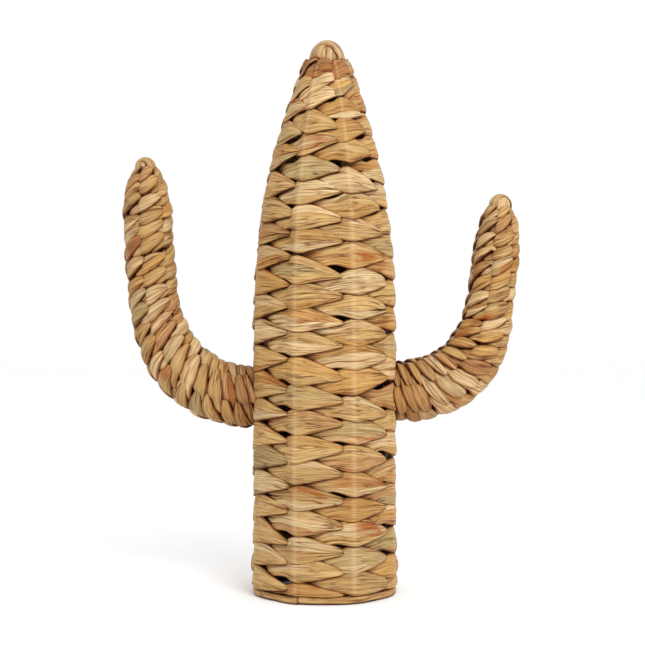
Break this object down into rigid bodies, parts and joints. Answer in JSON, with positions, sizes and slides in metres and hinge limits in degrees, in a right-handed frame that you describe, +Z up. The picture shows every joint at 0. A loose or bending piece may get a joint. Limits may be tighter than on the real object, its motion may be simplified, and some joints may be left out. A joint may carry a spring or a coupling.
{
  "type": "woven cactus ornament",
  "caption": "Free-standing cactus ornament with two upturned arms, twined from flat plant stalks over a welded wire frame, hollow and open below.",
  "frame": {"origin": "on the surface it stands on, under the middle of the bounding box; the trunk's axis is 4 mm to +X of it", "axes": "+Z up along the trunk, +X towards the shorter arm, the front faces -Y"},
  "size_m": [0.4486, 0.158, 0.62],
  "materials": {
    "frame_wire": "satin",
    "woven_stalk": "matte",
    "knot_stalk": "matte"
  },
  "bodies": {
    "root": {"trunk_stake_1": "frame_wire", "trunk_stake_2": "frame_wire", "trunk_stake_3": "frame_wire", "trunk_stake_4": "frame_wire", "trunk_stake_5": "frame_wire", "trunk_stake_6": "frame_wire", "trunk_stake_7": "frame_wire", "trunk_stake_8": "frame_wire", "base_ring": "frame_wire", "lower_ring": "frame_wire", "upper_ring": "frame_wire", "shoulder_ring": "frame_wire", "crown_ring": "frame_wire", "left_arm_wire_1": "frame_wire", "left_arm_wire_2": "frame_wire", "left_arm_wire_3": "frame_wire", "left_arm_wire_4": "frame_wire", "left_arm_wire_5": "frame_wire", "left_arm_wire_6": "frame_wire", "left_arm_collar": "frame_wire", "left_arm_elbow_ring": "frame_wire", "left_arm_upright_ring": "frame_wire", "right_arm_wire_1": "frame_wire", "right_arm_wire_2": "frame_wire", "right_arm_wire_3": "frame_wire", "right_arm_wire_4": "frame_wire", "right_arm_wire_5": "frame_wire", "right_arm_wire_6": "frame_wire", "right_arm_collar": "frame_wire", "right_arm_elbow_ring": "frame_wire", "right_arm_upright_ring": "frame_wire", "foot_binding": "woven_stalk", "trunk_weave_lower": "woven_stalk", "trunk_weave_middle": "woven_stalk", "trunk_weave_upper": "woven_stalk", "trunk_weave_crown": "woven_stalk", "left_arm_weave_root": "woven_stalk", "left_arm_weave_elbow": "woven_stalk", "left_arm_weave_upright": "woven_stalk", "right_arm_weave_root": "woven_stalk", "right_arm_weave_elbow": "woven_stalk", "right_arm_weave_upright": "woven_stalk", "trunk_tip_knot": "knot_stalk", "left_arm_tip_knot": "knot_stalk", "right_arm_tip_knot": "knot_stalk"}
  },
  "joints": []
}
